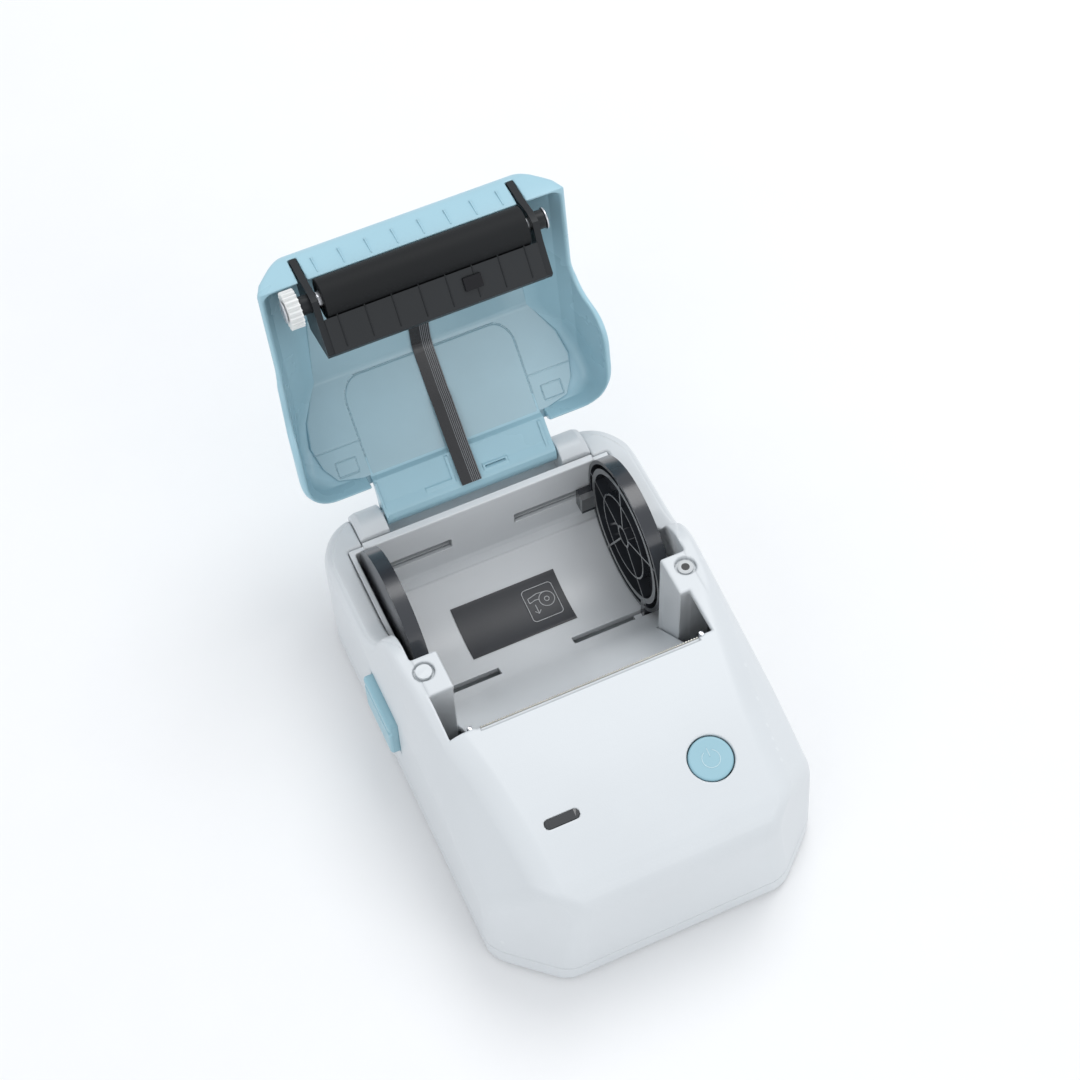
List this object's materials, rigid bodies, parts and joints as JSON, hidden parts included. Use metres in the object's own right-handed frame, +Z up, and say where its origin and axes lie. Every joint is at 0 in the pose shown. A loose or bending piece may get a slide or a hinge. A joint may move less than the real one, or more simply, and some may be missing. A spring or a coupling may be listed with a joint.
{
  "type": "thermal label printer",
  "caption": "Compact thermal label printer with an open hinged lid, platen roller in the lid, roll bay with sliding centring guides, tear bar, power button and side release button.",
  "frame": {"origin": "on the ground under the middle of the footprint", "axes": "+X to the right of someone facing the front, +Y to the back, +Z up"},
  "size_m": [0.0858, 0.1509, 0.1025],
  "materials": {
    "white_plastic": "fine satin moulded texture, cool white",
    "grey_plastic": "fine satin moulded texture, light grey",
    "blue_plastic": "satin to semi-gloss moulded plastic, light blue",
    "pale_panel": "semi-gloss pale blue-grey liner",
    "button_blue": "satin light blue",
    "black_plastic": "satin black moulded plastic",
    "guide_gloss": "polished blue-black plastic",
    "platen_rubber": "ground silicone rubber",
    "foot_rubber": "matte rubber",
    "steel": "drawn or stamped steel",
    "black_steel": "black oxide screw",
    "latch_chrome": "plated stamped steel",
    "aluminium": "plain aluminium",
    "ceramic": "glazed ceramic thermal head",
    "motor_steel": "zinc plated can",
    "brass": "machined brass",
    "gear_white": "natural acetal",
    "circuit_board": "green solder mask",
    "battery_wrap": "blue shrink wrap",
    "lens_grey": "smoked light guide",
    "label_dark": "printed charcoal label with a plain pictogram",
    "sensor_window": "dark infrared window",
    "ribbon_black": "flat flexible cable"
  },
  "bodies": {
    "body": {"base_shell": "white_plastic", "feet": "foot_rubber", "case_screws": "steel", "top_shell": "white_plastic", "paper_bin": "grey_plastic", "bin_label": "label_dark", "hinge_caps": "white_plastic", "hinge_pins": "steel", "tear_bar": "steel", "print_head": "ceramic", "head_heatsink": "aluminium", "head_springs": "steel", "main_board": "circuit_board", "battery": "battery_wrap", "port_board": "circuit_board", "usb_port": "steel", "drive_motor": "motor_steel", "gear_plate": "steel", "gear_posts": "steel", "indicator_lens": "lens_grey", "control_board": "circuit_board", "power_switch": "black_plastic", "pillar_screws": "black_steel", "screw_plug": "white_plastic", "latch_blocks": "white_plastic"},
    "lid": {"lid_shell": "blue_plastic", "lid_panel": "pale_panel", "hinge_plate": "blue_plastic", "platen_bracket": "black_plastic", "bracket_screws": "steel", "gap_sensor": "sensor_window", "sensor_ribbon": "ribbon_black", "platen_bushes": "black_plastic"},
    "platen": {"platen_shaft": "steel", "platen_rubber": "platen_rubber", "platen_gear": "gear_white", "shaft_clips": "steel"},
    "left_guide": {"left_guide": "guide_gloss", "left_slider": "grey_plastic"},
    "right_guide": {"right_guide": "guide_gloss", "right_slider": "grey_plastic"},
    "guide_pinion": {"guide_pinion": "gear_white"},
    "power_button": {"power_button": "button_blue"},
    "release_button": {"release_button": "button_blue"},
    "latch": {"latch_shaft": "latch_chrome", "latch_hooks": "latch_chrome", "latch_spring": "steel"},
    "transfer_gear": {"transfer_gear": "gear_white"},
    "idler_gear": {"idler_gear": "gear_white"},
    "motor_pinion": {"motor_shaft": "steel", "motor_pinion": "brass"}
  },
  "joints": [
    {"name": "lid_hinge", "type": "hinge", "parent": "body", "child": "lid", "pos_m": [0, 0.056, 0.0335], "axis": [1, 0, 0], "range_deg": [0, 98]},
    {"name": "platen_spin", "type": "hinge", "parent": "lid", "child": "platen", "pos_m": [0, 0.07311, 0.09774], "axis": [1, 0, 0], "continuous": true},
    {"name": "left_guide_slide", "type": "slide", "parent": "body", "child": "left_guide", "axis": [1, 0, 0], "range_m": [0, 0.016]},
    {"name": "right_guide_slide", "type": "slide", "parent": "body", "child": "right_guide", "axis": [-1, 0, 0], "range_m": [0, 0.016]},
    {"name": "guide_pinion_spin", "type": "hinge", "parent": "body", "child": "guide_pinion", "pos_m": [0, 0.009, 0.0047], "axis": [0, 0, 1], "range_deg": [0, 230]},
    {"name": "power_press", "type": "slide", "parent": "body", "child": "power_button", "axis": [0, 0.2167, -0.9762], "range_m": [0, 0.0008], "stiffness_N_per_m": 400},
    {"name": "release_press", "type": "slide", "parent": "body", "child": "release_button", "axis": [1, 0, 0], "range_m": [0, 0.0015], "stiffness_N_per_m": 500},
    {"name": "latch_turn", "type": "hinge", "parent": "body", "child": "latch", "pos_m": [0, -0.007, 0.0235], "axis": [1, 0, 0], "range_deg": [0, 6]},
    {"name": "transfer_gear_spin", "type": "hinge", "parent": "body", "child": "transfer_gear", "pos_m": [-0.032, -0.02504, 0.0256], "axis": [1, 0, 0], "continuous": true},
    {"name": "idler_gear_spin", "type": "hinge", "parent": "body", "child": "idler_gear", "pos_m": [-0.032, -0.016, 0.0335], "axis": [1, 0, 0], "continuous": true},
    {"name": "motor_pinion_spin", "type": "hinge", "parent": "body", "child": "motor_pinion", "pos_m": [-0.032, -0.0316, 0.01859], "axis": [1, 0, 0], "continuous": true}
  ],
  "couplings": [
    {"joint": "right_guide_slide", "follows": "left_guide_slide", "ratio": 1},
    {"joint": "guide_pinion_spin", "follows": "left_guide_slide", "rad_per_m": 250},
    {"joint": "latch_turn", "follows": "release_press", "rad_per_m": 69},
    {"joint": "idler_gear_spin", "follows": "transfer_gear_spin", "ratio": -1.5},
    {"joint": "motor_pinion_spin", "follows": "transfer_gear_spin", "ratio": -3}
  ]
}
